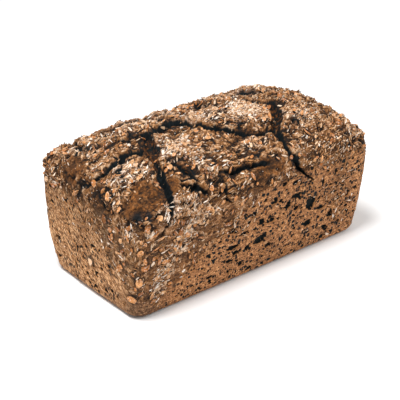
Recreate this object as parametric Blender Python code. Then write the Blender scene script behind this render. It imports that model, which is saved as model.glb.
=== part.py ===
"""A dark wholegrain rye loaf baked in a tin: plain walls below a domed top crust that has torn
into craggy plates and is strewn with rye flakes. Metres, +Z up, +X along the loaf."""
import bmesh
import bpy
import numpy as np
from mathutils import Matrix, Vector

MM = 0.001

# Driving sizes of the smooth form
RIM_LENGTH = 223 * MM
RIM_WIDTH = 126 * MM
RIM_HEIGHT = 80 * MM
DOME_HEIGHT = 28 * MM
DOME_LENGTH_POWER = 5.4
DOME_WIDTH_POWER = 2.0
DOME_TILT = -0.06
TAPER_LENGTH = 3.7 * MM
TAPER_WIDTH = 11.5 * MM
WALL_BULGE = 1.8 * MM
CORNER_AT_RIM = 17 * MM
CORNER_AT_FOOT = 10.6 * MM
FOOT_ROUNDING = 5.4 * MM

# Tears in the top crust: depth, how far the crust stands up on the left and on the right of the
# tear, and its course of places and half widths, in millimetres on the top laid flat. A course
# that leaves the top runs on down the wall.
TEARS = {
    "main": (9, 1.6, -1.5, [
        (-76, 7, 1.1), (-62, 8, 2.2), (-50, 8, 3.2), (-40, 8, 3.4), (-30, 11, 3.3), (-24, 11, 2.8),
        (-17, 4, 2.3), (-12, -7, 2.0), (-7, -16, 1.9), (2, -23, 1.7), (9, -31, 1.8), (17, -36, 1.9),
        (31, -36, 2.0),
    ]),
    "upper": (5, 1.2, -0.8, [(-31, 27, 0.8), (-27, 20, 1.4), (-23, 12, 1.4)]),
    "right": (9, 1.0, -0.8, [
        (45, 20, 1.0), (46, 8, 1.6), (52, 0, 2.6), (55, -9, 4.6), (49, -20, 5.4), (38, -31, 4.4),
        (32, -41, 2.8), (29, -54, 2.0), (32, -62, 1.8), (47, -76, 0.9),
    ]),
    "left": (8, 1.5, -0.6, [
        (-54, 3, 4.0), (-61, -9, 5.4), (-67, -21, 5.0), (-74, -36, 3.2), (-79, -53, 2.6), (-83, -64, 2.2),
        (-90, -74, 1.1),
    ]),
    "corner": (5, -0.8, 1.6, [
        (-63, -12, 1.8), (-80, -10, 2.2), (-95, -11, 1.9), (-105, -9, 1.1), (-110, 1, 0.9), (-110, 26, 0.7),
    ]),
    "nick": (4, 0.0, -0.6, [(-109, -14, 0.8), (-112, -22, 1.4), (-114, -30, 0.6)]),
    "ledge": (5, 1.4, -1.2, [
        (-31, -54, 1.0), (-23, -56, 1.6), (-10, -57, 1.0), (-3, -57, 1.4), (8, -58, 0.7),
    ]),
    "pits": (5, 0.8, -0.8, [(-69, -52, 1.0), (-63, -55, 1.6), (-57, -58, 2.2), (-51, -62, 1.1)]),
    "short": (5, 0.0, 0.0, [(-34, -57, 0.9), (-34, -64, 1.5), (-30, -71, 0.8)]),
    "plate": (5, 1.2, -1.2, [(-62, -30, 0.9), (-60, -43, 1.6), (-54, -55, 1.3)]),
    "notch": (5, 1.2, -0.8, [(48, 34, 1.0), (56, 27, 2.4), (64, 21, 2.0), (70, 11, 0.8)]),
    "far left": (6, 0.8, -1.0, [(-76, 33, 0.8), (-48, 41, 2.4), (-22, 36, 2.2), (4, 45, 0.8)]),
    "far right": (5, 0.8, -0.8, [(74, 18, 0.8), (86, 36, 2.2), (94, 53, 0.9)]),
    "far end": (5, -0.6, 0.8, [(-97, 31, 0.8), (-86, 47, 1.9), (-81, 61, 0.9)]),
    "far middle": (5, -0.6, 0.8, [(9, 20, 0.8), (17, 40, 2.0), (13, 60, 1.0)]),
}
TEAR_STEEPNESS = 0.45
FULL_DEPTH_WIDTH = 2.4 * MM
LIP_REACH = 9 * MM
LIP_LIMIT = 2.6 * MM
COURSE_STEPS = 8
RAGGED_EDGES = ((9 * MM, 1.6 * MM), (3.5 * MM, 0.9 * MM))

# Lumps as size and height, on the top crust and on the walls that the tin pressed flat
TOP_LUMPS = ((26 * MM, 1.1 * MM), (11 * MM, 2.1 * MM), (5 * MM, 1.2 * MM))
WALL_LUMPS = ((30 * MM, 0.7 * MM), (9 * MM, 0.35 * MM))
CRUST_REACH = 12 * MM
FOOT_CALM = 8 * MM

# Flakes reach down the walls to a slanting line, lowest at the corner where -X meets -Y
FLAKE_LINE_TOP = 74 * MM
FLAKE_LINE_FOOT = 5 * MM
FLAKE_LINE_SLOPE_LONG = 0.67
FLAKE_LINE_SLOPE_END = 0.9
FLAKE_LINE_START_LONG = 1 * MM
FLAKE_LINE_START_END = 9 * MM
BARE_SPOTS = ((-96, -50, 17, 13), (-77, -51, 10, 5), (-108, 16, 6, 13), (66, -60, 17, 8), (8, -60, 17, 4))
BARE_EDGE = (0.7, 1.2)
CORNER_FLAKES = (
    (-92, -61, 65), (-97, -60, 58), (-93, -58, 49), (-103, -58, 46), (-107, -56, 34), (-109, -49, 18),
    (-95, -54, 19), (-109, -29, 33), (-109, -3, 29),
)
FLAKE_COUNT = 90
FLAKE_TRIES = 4000
FLAKE_LENGTHS = (4.6 * MM, 8.2 * MM)
FLAKE_WIDTH_SHARE = (0.45, 0.7)
FLAKE_DEPTH = 3.2 * MM
FLAKE_PROUD = 1.0 * MM
FLAKE_SIDES = 6
FLAKE_TOP_RADIUS = 0.5
FLAKE_ROOT_RADIUS = 0.36
FLAKE_SPACING = 8.5 * MM
FLAKE_LEAN = 0.3

# Mesh fineness
BLOCK_CUTS = (150, 84, 40)
EDGE_CROWDING = 0.8
NORMAL_STEP = 0.01
BODY_TRIANGLES = 7000
FLAT_TOLERANCE = 0.3 * MM
SHARP_ANGLE = 40
TINY = 1e-6
STRAIGHT = 0.99
SEED = 11

CRUST_COLOR = (0.235, 0.120, 0.058, 1)
CRUST_ROUGHNESS = 0.92

GRADIENT_COUNT = 256
LAYER_SHIFT = 17.3
NOISE_GAIN = 1.6
DRAWS = np.random.default_rng(SEED)
GRADIENTS = DRAWS.normal(size=(GRADIENT_COUNT, 3))
GRADIENTS /= np.linalg.norm(GRADIENTS, axis=1, keepdims=True)
SHUFFLE = DRAWS.permutation(GRADIENT_COUNT)


def smoothstep(low, high, value):
    share = np.clip((value - low) / (high - low), 0, 1)
    return share * share * (3 - 2 * share)


def noise(points, size, layer=0):
    """Gradient noise from -1 to 1 with lumps of the given size."""
    scaled = points / size + layer * LAYER_SHIFT
    cell = np.floor(scaled).astype(int)
    inside = scaled - cell
    blend = inside ** 3 * (inside * (inside * 6 - 15) + 10)
    total = np.zeros(len(points))
    for corner in np.ndindex(2, 2, 2):
        x, y, z = ((cell + corner) % GRADIENT_COUNT).T
        pick = SHUFFLE[(SHUFFLE[(SHUFFLE[x] + y) % GRADIENT_COUNT] + z) % GRADIENT_COUNT]
        weight = np.where(np.array(corner) == 1, blend, 1 - blend).prod(axis=1)
        total += weight * ((inside - corner) * GRADIENTS[pick]).sum(axis=1)
    return NOISE_GAIN * total


def lumps(points, layers):
    return sum(height * noise(points, size, order) for order, (size, height) in enumerate(layers))


def foot_inset(height):
    """How far the rounded bottom edge draws the walls in at a height."""
    drop = np.clip(FOOT_ROUNDING - height, 0, FOOT_ROUNDING)
    return FOOT_ROUNDING - np.sqrt(FOOT_ROUNDING ** 2 - drop ** 2)


def rounded_plan(x, y, half_length, half_width, corner):
    """Moves points of a rectangle into one of the same size with round corners."""
    across = np.clip((np.abs(x) - half_length + corner) / corner, 0, 1)
    along = np.clip((np.abs(y) - half_width + corner) / corner, 0, 1)
    round_x = half_length - corner + corner * across * np.sqrt(1 - along ** 2 / 2)
    round_y = half_width - corner + corner * along * np.sqrt(1 - across ** 2 / 2)
    in_corner = (across > 0) & (along > 0)
    return np.where(in_corner, np.sign(x) * round_x, x), np.where(in_corner, np.sign(y) * round_y, y)


def smooth_form(block):
    """Maps a cube with half sides of 1 onto the loaf without its tears and lumps."""
    u, v, w = block.T
    u = (1 - EDGE_CROWDING) * u + EDGE_CROWDING * np.sin(u * np.pi / 2)
    v = (1 - EDGE_CROWDING) * v + EDGE_CROWDING * np.sin(v * np.pi / 2)
    share = (w + 1) / 2
    height = share * RIM_HEIGHT
    swell = WALL_BULGE * np.sin(np.pi * share) - foot_inset(height)
    half_length = RIM_LENGTH / 2 - TAPER_LENGTH * (1 - share) + swell
    half_width = RIM_WIDTH / 2 - TAPER_WIDTH * (1 - share) + swell
    corner = CORNER_AT_FOOT + (CORNER_AT_RIM - CORNER_AT_FOOT) * share
    x, y = rounded_plan(u * half_length, v * half_width, half_length, half_width, corner)
    arch = (1 - np.abs(u) ** DOME_LENGTH_POWER) * (1 - np.abs(v) ** DOME_WIDTH_POWER)
    dome = DOME_HEIGHT * np.sqrt(np.clip(arch, 0, 1)) * (1 + DOME_TILT * u)
    return np.stack([x, y, height + np.where(w > 1 - TINY, dome, 0)], axis=1)


def facing_axis(block):
    """The axis that each point's side of the cube faces along."""
    on_side = np.abs(block) > 1 - TINY
    return np.where(on_side[:, 2], 2, np.where(on_side[:, 1], 1, 0))


def outward_normals(block):
    """Unit normals of the smooth form, from the run of the surface across each point."""
    normals = np.zeros_like(block)
    facing = facing_axis(block)
    for axis in range(3):
        here = facing == axis
        runs = []
        for other in ((axis + 1) % 3, (axis + 2) % 3):
            step = np.eye(3)[other] * NORMAL_STEP
            ahead = smooth_form(np.clip(block[here] + step, -1, 1))
            runs.append(ahead - smooth_form(np.clip(block[here] - step, -1, 1)))
        normals[here] = np.cross(*runs) * np.sign(block[here, axis])[:, None]
    return normals / np.linalg.norm(normals, axis=1, keepdims=True)


def laid_flat(points, normals):
    """Plan position, with the walls folded outward from the rim."""
    outward = normals[:, :2] / np.maximum(np.linalg.norm(normals[:, :2], axis=1, keepdims=True), TINY)
    below_rim = np.clip(RIM_HEIGHT - points[:, 2:], 0, None)
    return points[:, :2] + outward * below_rim


def smooth_course(course):
    """A curve through the course's places and half widths, as short straight runs."""
    stops = np.array(course, float) * MM
    padded = np.vstack([2 * stops[0] - stops[1], stops, 2 * stops[-1] - stops[-2]])
    t = np.linspace(0, 1, COURSE_STEPS, endpoint=False)[:, None]
    runs = []
    for before, start, end, after in zip(padded, padded[1:], padded[2:], padded[3:]):
        bend = 2 * before - 5 * start + 4 * end - after
        twist = -before + 3 * start - 3 * end + after
        runs.append(start + 0.5 * t * (end - before + t * (bend + t * twist)))
    return np.vstack(runs + [stops[-1:]])


def nearest_on_course(flat, line):
    """Distance to a line, above 0 on its left, with the place along it from 0 to 1 and the half width."""
    distance = np.full(len(flat), np.inf)
    place = np.zeros(len(flat))
    half_width = np.zeros(len(flat))
    for index, (start, end) in enumerate(zip(line, line[1:])):
        run = end[:2] - start[:2]
        away = flat - start[:2]
        t = np.clip(away @ run / (run @ run), 0, 1)
        side = np.where(run[0] * away[:, 1] > run[1] * away[:, 0], 1, -1)
        reach = np.linalg.norm(away - t[:, None] * run, axis=1)
        nearer = reach < np.abs(distance)
        distance = np.where(nearer, reach * side, distance)
        place = np.where(nearer, (index + t) / (len(line) - 1), place)
        half_width = np.where(nearer, start[2] + (end[2] - start[2]) * t, half_width)
    return distance, place, half_width


def tear_relief(flat):
    """Depth of the tears below the crust, and how far the crust beside them stands up or sinks."""
    level = np.column_stack([flat, np.zeros(len(flat))])
    sideways = level[:, [1, 0, 2]] + RIM_LENGTH
    ragged = np.column_stack([lumps(level, RAGGED_EDGES), lumps(sideways, RAGGED_EDGES)])
    depth = np.zeros(len(flat))
    lift = np.zeros(len(flat))
    for deepest, left, right, course in TEARS.values():
        distance, place, half_width = nearest_on_course(flat + ragged, smooth_course(course))
        opening = 1 - smoothstep(TEAR_STEEPNESS, 1, np.abs(distance) / half_width)
        fullness = np.clip(half_width / FULL_DEPTH_WIDTH, 0, 1)
        depth = np.maximum(depth, deepest * MM * fullness * opening)
        side = smoothstep(-1, 1, distance / half_width)
        reach = np.exp(-np.clip(np.abs(distance) - half_width, 0, None) / LIP_REACH)
        reach *= np.sqrt(np.sin(np.pi * place).clip(0))
        lift += (right + (left - right) * side) * MM * reach
    return depth, np.clip(lift, -LIP_LIMIT, LIP_LIMIT)


def rough_form(smooth, normals):
    """Adds tears and lumps to the smooth form, and leaves the flat bottom as it is."""
    depth, lift = tear_relief(laid_flat(smooth, normals))
    height = smooth[:, 2]
    crust = smoothstep(RIM_HEIGHT - CRUST_REACH, RIM_HEIGHT + CRUST_REACH / 2, height)
    calm = smoothstep(0, FOOT_CALM, height)
    bumps = crust * lumps(smooth, TOP_LUMPS) + (1 - crust) * lumps(smooth, WALL_LUMPS)
    push = calm * (bumps + lift * crust) - depth
    return smooth + normals * push[:, None] * (height > TINY)[:, None]


def flake_share(points):
    """How thickly flakes lie, from 0 on the bare walls and bare spots to 1."""
    x, y, height = points.T
    on_long_wall = np.abs(y) / RIM_WIDTH > np.abs(x) / RIM_LENGTH
    long_line = FLAKE_LINE_TOP + FLAKE_LINE_SLOPE_LONG * np.minimum(x - FLAKE_LINE_START_LONG, 0)
    end_line = FLAKE_LINE_TOP + FLAKE_LINE_SLOPE_END * np.minimum(np.sign(-x) * y - FLAKE_LINE_START_END, 0)
    line = np.clip(np.where(on_long_wall, long_line, end_line), FLAKE_LINE_FOOT, FLAKE_LINE_TOP)
    share = (height > line).astype(float)
    for spot_x, spot_y, reach_x, reach_y in BARE_SPOTS:
        reach = np.hypot((x - spot_x * MM) / (reach_x * MM), (y - spot_y * MM) / (reach_y * MM))
        share *= smoothstep(*BARE_EDGE, reach) ** (height > RIM_HEIGHT)
    return share


def is_along(edge, axis):
    run = edge.verts[1].co - edge.verts[0].co
    return abs(run[axis]) > STRAIGHT * run.length


def shaped_block():
    """A cube cut into a fine grid whose points move onto the loaf's surface."""
    block = bmesh.new()
    bmesh.ops.create_cube(block, size=2)
    for axis, cuts in enumerate(BLOCK_CUTS):
        edges = [edge for edge in block.edges if is_along(edge, axis)]
        bmesh.ops.subdivide_edges(block, edges=edges, cuts=cuts, use_grid_fill=True)
    spots = np.array([vert.co for vert in block.verts])
    for vert, place in zip(block.verts, rough_form(smooth_form(spots), outward_normals(spots))):
        vert.co = place
    bottom = [face for face in block.faces if all(vert.co.z < TINY for vert in face.verts)]
    bmesh.ops.dissolve_faces(block, faces=bottom)
    return block


def mesh_with_modifiers(item):
    """The item's mesh as its modifiers leave it."""
    evaluated = item.evaluated_get(bpy.context.evaluated_depsgraph_get())
    return bpy.data.meshes.new_from_object(evaluated)


def apply_modifiers(item):
    plain = item.data
    finished = mesh_with_modifiers(item)
    item.modifiers.clear()
    item.data = finished
    bpy.data.meshes.remove(plain)


def triangle_count(mesh):
    return sum(len(face.vertices) - 2 for face in mesh.polygons)


def thin_out(item):
    """Lowers the triangle count where the surface is plain, and keeps the bottom flat."""
    decimate = item.modifiers.new("thin out", "DECIMATE")
    decimate.ratio = BODY_TRIANGLES / triangle_count(item.data)
    apply_modifiers(item)
    for vert in item.data.vertices:
        if vert.co.z < FLAT_TOLERANCE:
            vert.co.z = 0


def centre_on_origin(item):
    corners = np.array([vert.co for vert in item.data.vertices])
    middle = (corners.min(axis=0) + corners.max(axis=0)) / 2
    item.data.transform(Matrix.Translation((-middle[0], -middle[1], -corners[:, 2].min())))


def flake_mesh():
    """A flake of unit length and width: a low prism that narrows into the crust."""
    flake = bmesh.new()
    radii = {"radius1": FLAKE_ROOT_RADIUS, "radius2": FLAKE_TOP_RADIUS}
    bmesh.ops.create_cone(flake, cap_ends=True, segments=FLAKE_SIDES, depth=1, **radii)
    mesh = bpy.data.meshes.new("flake")
    flake.to_mesh(mesh)
    flake.free()
    return mesh


def random_block_points(draws, count):
    """Points drawn over the cube's top and four walls, by the area of each on the loaf."""
    sizes = np.array([RIM_LENGTH, RIM_WIDTH, RIM_HEIGHT])
    areas = np.array([2 * sizes[1] * sizes[2], 2 * sizes[0] * sizes[2], sizes[0] * sizes[1]])
    points = draws.uniform(-1, 1, size=(count, 3))
    facing = draws.choice(3, size=count, p=areas / areas.sum())
    for axis in range(3):
        here = facing == axis
        points[here, axis] = 1 if axis == 2 else draws.choice((-1, 1), size=here.sum())
    return points


def flake_spots(draws):
    """The flakes at the corner, then well spread places where flakes lie on the smooth form."""
    chosen = [np.array(spot) * MM for spot in CORNER_FLAKES]
    drawn = smooth_form(random_block_points(draws, FLAKE_TRIES))
    for spot in drawn[draws.uniform(size=FLAKE_TRIES) < flake_share(drawn)]:
        nearest = min(np.linalg.norm(spot - other) for other in chosen)
        if len(chosen) < FLAKE_COUNT and nearest > FLAKE_SPACING:
            chosen.append(spot)
    return chosen


def strewn_flakes(item, collection):
    """One object for each flake, lying on the crust with a slight lean of its own."""
    draws = np.random.default_rng(SEED)
    mesh = flake_mesh()
    spots = flake_spots(draws)
    lengths = np.sort(draws.uniform(*FLAKE_LENGTHS, size=len(spots)))[::-1]
    for spot, length in zip(spots, lengths):
        _, place, normal, _ = item.closest_point_on_mesh(Vector(spot))
        lean = normal + Vector(draws.uniform(-FLAKE_LEAN, FLAKE_LEAN, size=3))
        spin = Matrix.Rotation(draws.uniform(0, np.pi), 4, "Z")
        turn = lean.to_track_quat("Z", "Y").to_matrix().to_4x4() @ spin
        width = length * draws.uniform(*FLAKE_WIDTH_SHARE)
        rise = normal * (FLAKE_PROUD - FLAKE_DEPTH / 2)
        size = Matrix.Diagonal((length, width, FLAKE_DEPTH, 1))
        flake = bpy.data.objects.new("flake", mesh)
        flake.matrix_world = Matrix.Translation(place + rise) @ turn @ size
        collection.objects.link(flake)


def keep_largest_body(item):
    """Drops loose scraps and the walls of hollows that the flakes sealed."""
    shape = bmesh.new()
    shape.from_mesh(item.data)
    unseen = set(shape.verts)
    bodies = []
    while unseen:
        body = {unseen.pop()}
        front = list(body)
        while front:
            vert = front.pop()
            fresh = [edge.other_vert(vert) for edge in vert.link_edges if edge.other_vert(vert) in unseen]
            unseen.difference_update(fresh)
            body.update(fresh)
            front.extend(fresh)
        bodies.append(body)
    bodies.sort(key=len, reverse=True)
    for scrap in bodies[1:]:
        bmesh.ops.delete(shape, geom=list(scrap), context="VERTS")
    bmesh.ops.triangulate(shape, faces=shape.faces)
    shape.to_mesh(item.data)
    shape.free()


def fuse_flakes(item):
    """Joins the flakes to the crust by one union, and removes them as objects."""
    flakes = bpy.data.collections.new("flakes")
    bpy.context.scene.collection.children.link(flakes)
    strewn_flakes(item, flakes)
    union = item.modifiers.new("fuse flakes", "BOOLEAN")
    union.operation = "UNION"
    union.operand_type = "COLLECTION"
    union.collection = flakes
    union.solver = "MANIFOLD"
    apply_modifiers(item)
    spare_mesh = flakes.objects[0].data
    for flake in list(flakes.objects):
        bpy.data.objects.remove(flake)
    bpy.data.meshes.remove(spare_mesh)
    bpy.data.collections.remove(flakes)
    keep_largest_body(item)


def crust_material():
    material = bpy.data.materials.new("crust")
    material.use_nodes = True
    shader = material.node_tree.nodes["Principled BSDF"]
    shader.inputs["Base Color"].default_value = CRUST_COLOR
    shader.inputs["Roughness"].default_value = CRUST_ROUGHNESS
    shader.inputs["Metallic"].default_value = 0
    return material


def build_loaf():
    collection = bpy.data.collections.new("tin loaf")
    bpy.context.scene.collection.children.link(collection)
    block = shaped_block()
    mesh = bpy.data.meshes.new("loaf")
    block.to_mesh(mesh)
    block.free()
    loaf = bpy.data.objects.new("loaf", mesh)
    collection.objects.link(loaf)
    thin_out(loaf)
    fuse_flakes(loaf)
    centre_on_origin(loaf)
    loaf.data.materials.clear()
    loaf.data.materials.append(crust_material())
    loaf.data.shade_smooth()
    loaf.data.set_sharp_from_angle(angle=np.radians(SHARP_ANGLE))
    return loaf


for leftover in list(bpy.data.objects):
    bpy.data.objects.remove(leftover)
build_loaf()
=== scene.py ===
from collections import namedtuple

import bmesh
import bpy
import numpy as np
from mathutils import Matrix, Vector
from mathutils.bvhtree import BVHTree
from mathutils.kdtree import KDTree


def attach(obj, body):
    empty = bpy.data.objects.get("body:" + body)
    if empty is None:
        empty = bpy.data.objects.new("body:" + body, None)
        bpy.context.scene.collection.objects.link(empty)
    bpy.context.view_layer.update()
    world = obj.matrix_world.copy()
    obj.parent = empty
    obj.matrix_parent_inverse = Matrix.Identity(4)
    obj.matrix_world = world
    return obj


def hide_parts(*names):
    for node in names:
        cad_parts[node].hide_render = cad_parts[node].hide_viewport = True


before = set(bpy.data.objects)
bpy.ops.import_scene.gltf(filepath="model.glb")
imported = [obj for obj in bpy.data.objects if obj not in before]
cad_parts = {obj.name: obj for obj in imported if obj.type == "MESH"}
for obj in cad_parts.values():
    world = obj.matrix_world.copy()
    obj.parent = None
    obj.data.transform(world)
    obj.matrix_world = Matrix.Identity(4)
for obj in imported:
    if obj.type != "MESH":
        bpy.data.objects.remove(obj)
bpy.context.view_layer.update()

MM = 0.001

# Driving sizes of the smooth form
RIM_LENGTH = 223 * MM
RIM_WIDTH = 126 * MM
RIM_HEIGHT = 80 * MM
DOME_HEIGHT = 28 * MM
DOME_LENGTH_POWER = 5.4
DOME_WIDTH_POWER = 2.0
DOME_TILT = -0.06
TAPER_LENGTH = 3.7 * MM
TAPER_WIDTH = 11.5 * MM
WALL_BULGE = 1.8 * MM
CORNER_AT_RIM = 17 * MM
CORNER_AT_FOOT = 10.6 * MM
FOOT_ROUNDING = 5.4 * MM

# Tears in the top crust: depth, how far the crust stands up on the left and on the right of the
# tear, and its course of places and half widths, in millimetres on the top laid flat. A course
# that leaves the top runs on down the wall.
TEARS = {
    "main": (9, 1.6, -1.5, [
        (-76, 7, 1.1), (-62, 8, 2.2), (-50, 8, 3.2), (-40, 8, 3.4), (-30, 11, 3.3), (-24, 11, 2.8),
        (-17, 4, 2.3), (-12, -7, 2.0), (-7, -16, 1.9), (2, -23, 1.7), (9, -31, 1.8), (17, -36, 1.9),
        (31, -36, 2.0),
    ]),
    "upper": (5, 1.2, -0.8, [(-31, 27, 0.8), (-27, 20, 1.4), (-23, 12, 1.4)]),
    "right": (9, 1.0, -0.8, [
        (45, 20, 1.0), (46, 8, 1.6), (52, 0, 2.6), (55, -9, 4.6), (49, -20, 5.4), (38, -31, 4.4),
        (32, -41, 2.8), (29, -54, 2.0), (32, -62, 1.8), (47, -76, 0.9),
    ]),
    "left": (8, 1.5, -0.6, [
        (-54, 3, 4.0), (-61, -9, 5.4), (-67, -21, 5.0), (-74, -36, 3.2), (-79, -53, 2.6), (-83, -64, 2.2),
        (-90, -74, 1.1),
    ]),
    "corner": (5, -0.8, 1.6, [
        (-63, -12, 1.8), (-80, -10, 2.2), (-95, -11, 1.9), (-105, -9, 1.1), (-110, 1, 0.9), (-110, 26, 0.7),
    ]),
    "nick": (4, 0.0, -0.6, [(-109, -14, 0.8), (-112, -22, 1.4), (-114, -30, 0.6)]),
    "ledge": (5, 1.4, -1.2, [
        (-31, -54, 1.0), (-23, -56, 1.6), (-10, -57, 1.0), (-3, -57, 1.4), (8, -58, 0.7),
    ]),
    "pits": (5, 0.8, -0.8, [(-69, -52, 1.0), (-63, -55, 1.6), (-57, -58, 2.2), (-51, -62, 1.1)]),
    "short": (5, 0.0, 0.0, [(-34, -57, 0.9), (-34, -64, 1.5), (-30, -71, 0.8)]),
    "plate": (5, 1.2, -1.2, [(-62, -30, 0.9), (-60, -43, 1.6), (-54, -55, 1.3)]),
    "notch": (5, 1.2, -0.8, [(48, 34, 1.0), (56, 27, 2.4), (64, 21, 2.0), (70, 11, 0.8)]),
    "far left": (6, 0.8, -1.0, [(-76, 33, 0.8), (-48, 41, 2.4), (-22, 36, 2.2), (4, 45, 0.8)]),
    "far right": (5, 0.8, -0.8, [(74, 18, 0.8), (86, 36, 2.2), (94, 53, 0.9)]),
    "far end": (5, -0.6, 0.8, [(-97, 31, 0.8), (-86, 47, 1.9), (-81, 61, 0.9)]),
    "far middle": (5, -0.6, 0.8, [(9, 20, 0.8), (17, 40, 2.0), (13, 60, 1.0)]),
}
TEAR_STEEPNESS = 0.45
FULL_DEPTH_WIDTH = 2.4 * MM
LIP_REACH = 9 * MM
LIP_LIMIT = 2.6 * MM
COURSE_STEPS = 8
RAGGED_EDGES = ((9 * MM, 1.6 * MM), (3.5 * MM, 0.9 * MM))
FINE_RAGGED = ((2.4 * MM, 0.9 * MM), (1.5 * MM, 0.4 * MM))
CRUMBLY_WIDTHS = (3.0 * MM, 5.0 * MM)
CRUMBLY_LUMPS = ((5 * MM, 2.6 * MM), (2.4 * MM, 1.8 * MM))
CRUMBLY_FILL = 2.0 * MM
# How deep a tear is where its painted shade is at its darkest
FULL_SHADE_DEPTH = 5 * MM

# Lumps as size and height, on the top crust and on the walls that the tin pressed flat
TOP_LUMPS = ((26 * MM, 1.1 * MM), (11 * MM, 2.1 * MM), (5 * MM, 1.2 * MM))
WALL_LUMPS = ((30 * MM, 0.7 * MM), (9 * MM, 0.35 * MM))
# The flaky crust: scales as size and step, the gaps between them, and the fine grit on them
SCALE_LAYERS = ((7.0 * MM, 1.1 * MM), (3.4 * MM, 0.8 * MM))
SCALE_EDGE = 0.12
SCALE_STRETCH = (2.2, 1.0, 1.0)
SCALE_WANDER = ((45 * MM, 14 * MM), (9 * MM, 2.5 * MM))
GRIT_LUMPS = ((1.8 * MM, 0.5 * MM),)
GAP_SIZE = 6 * MM
GAP_WIDTH = 0.12
GAP_DEPTH = 1.2 * MM
GAP_PATCH_SIZE = 3 * GAP_SIZE
GAP_PATCH_EDGE = (-0.2, 0.2)
FISSURE_SIZE = 14 * MM
FISSURE_DEPTH = 2.0 * MM
FISSURE_WIDTH = 0.11
FISSURE_PATCH_SIZE = 2 * FISSURE_SIZE
FISSURE_PATCH_EDGE = (-0.15, 0.25)
# Shares of the relief that bare crust and thinly strewn walls have, and that plain patches lose
BARE_ROUGH = 0.5
THIN_ROUGH = 0.4
PLAIN_ROUGH_LOST = 0.5
# The heights on the crags, in millimetres, between which low ground turns into high
HIGH_CRAGS = (-1.1, 0.9)
CRUST_REACH = 12 * MM
FOOT_CALM = 8 * MM
COVER_THICKNESS = 0.7 * MM

# Pores as cell size, smallest and largest radius as shares of the cell, and share of cells in use
PORE_LAYERS = ((3.8 * MM, 0.22, 0.5, 0.7), (7.5 * MM, 0.12, 0.36, 0.5))
PORE_STRETCH = (1.35, 1.35, 1.0)
PORE_DEPTH_SHARE = 1.2
PORE_RAGGED = (2.2 * MM, 0.7 * MM)
PORE_SHIFT = 31.7
PORE_EDGE = 0.4
# How open the pores are in dense patches of wall, what flakes take from it, and on the bare crust
LEAST_POROUS = 0.6
POROUS_PATCH_SIZE = 45 * MM
POROUS_PATCH_EDGE = (-0.25, 0.3)
STREWN_PORES_LOST = 0.8
CRUST_PORES = 0.3
# The large hollows of the front wall: along, up, half length and half height in millimetres
HOLLOWS = (
    (-28, 49, 2.2, 2.0), (-16, 42, 4.0, 1.3), (-26, 33, 5.0, 1.8), (-22, 27, 2.0, 1.8), (-11, 27, 1.8, 2.3),
    (1, 30, 4.0, 2.6), (10, 22, 2.6, 1.6), (-27, 21, 1.8, 1.6), (-15, 14, 1.6, 2.0), (-44, 14, 2.4, 1.3),
    (12, 60, 1.6, 2.2), (25, 52, 2.2, 2.6), (33, 57, 4.0, 1.9), (49, 45, 4.2, 4.4), (61, 37, 3.4, 1.4),
    (73, 28, 2.2, 3.4), (49, 27, 2.8, 2.5), (69, 16, 2.4, 1.8), (0, 46, 3.0, 2.6), (-8, 55, 2.4, 2.0),
)
HOLLOW_DEPTH = 2.6 * MM
HOLLOW_SPREAD = 1.3
HOLLOW_RAGGED = 0.4
HOLLOW_RAGGED_SIZE = 2.6 * MM
HOLLOW_EDGE = 0.25
# The corner where -X meets -Y has fewer pores: how many fewer, and from how near to how far
DENSE_CORNER = 0.7
DENSE_CORNER_REACH = (18 * MM, 50 * MM)

# Flakes reach down the walls to a slanting line, lowest at the corner where -X meets -Y
FLAKE_LINE_TOP = 74 * MM
FLAKE_LINE_FOOT = 5 * MM
FLAKE_LINE_SLOPE_LONG = 0.67
FLAKE_LINE_SLOPE_END = 0.9
FLAKE_LINE_START_LONG = 1 * MM
FLAKE_LINE_START_END = 9 * MM
BARE_SPOTS = ((-96, -50, 17, 13), (-77, -51, 10, 5), (-108, 16, 6, 13), (66, -60, 17, 8), (8, -60, 17, 4))
BARE_EDGE = (0.7, 1.2)
STREWN_EDGE = ((12 * MM, 5 * MM), (4 * MM, 3 * MM))
CORNER_FLAKES = (
    (-92, -61, 65), (-97, -60, 58), (-93, -58, 49), (-103, -58, 46), (-107, -56, 34), (-109, -49, 18),
    (-95, -54, 19), (-109, -29, 33), (-109, -3, 29),
)
FLAKE_COUNT = 90
FLAKE_TRIES = 4000
FLAKE_LENGTHS = (4.6 * MM, 8.2 * MM)
FLAKE_WIDTH_SHARE = (0.45, 0.7)
FLAKE_SPACING = 8.5 * MM
FLAKE_LEAN = 0.3

# How many pieces of each kind lie on the crust besides the large flakes, and their sizes
SMALL_FLAKE_COUNT = 750
SMALL_FLAKE_LENGTHS = (2.8 * MM, 5.5 * MM)
FLAKE_HALF_THICKNESS = (0.22 * MM, 0.42 * MM)
BRAN_COUNT = 13000
BRAN_LENGTHS = (1.3 * MM, 4.8 * MM)
BRAN_WIDTH_SHARE = (0.22, 0.5)
BRAN_HALF_THICKNESS = (0.08 * MM, 0.22 * MM)
HUSK_COUNT = 7000
HUSK_LENGTHS = (2.2 * MM, 6.0 * MM)
HUSK_WIDTH_SHARE = (0.12, 0.26)
CRUMB_COUNT = 6000
CRUMB_RADII = (0.2 * MM, 0.5 * MM)
CRUMB_WIDTH_SHARE = (0.6, 1)
CRUMB_HEIGHT_SHARE = 0.7
SHORT_LENGTH_BIAS = 1.7
LOWEST_PIECE = 4 * MM
# How thickly pieces lie, as shares of the thickest: at least, what the crust adds, what is left in
# low places and in tears, on specked walls, what plain patches and gaps take away, then flakes on
# the strewn walls, and bran and crumbs that lie anywhere
THIN_COVER = 0.12
CRUST_COVER = 0.16
LOW_COVER = 0.08
TORN_COVER = 0.03
SPECK_COVER = 0.06
PLAIN_COVER_LOST = 0.8
GAP_COVER_LOST = 0.9
WALL_FLAKES = 0.16
BRAN_STRAY = 0.004
CRUMB_STRAY = 0.008
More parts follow.
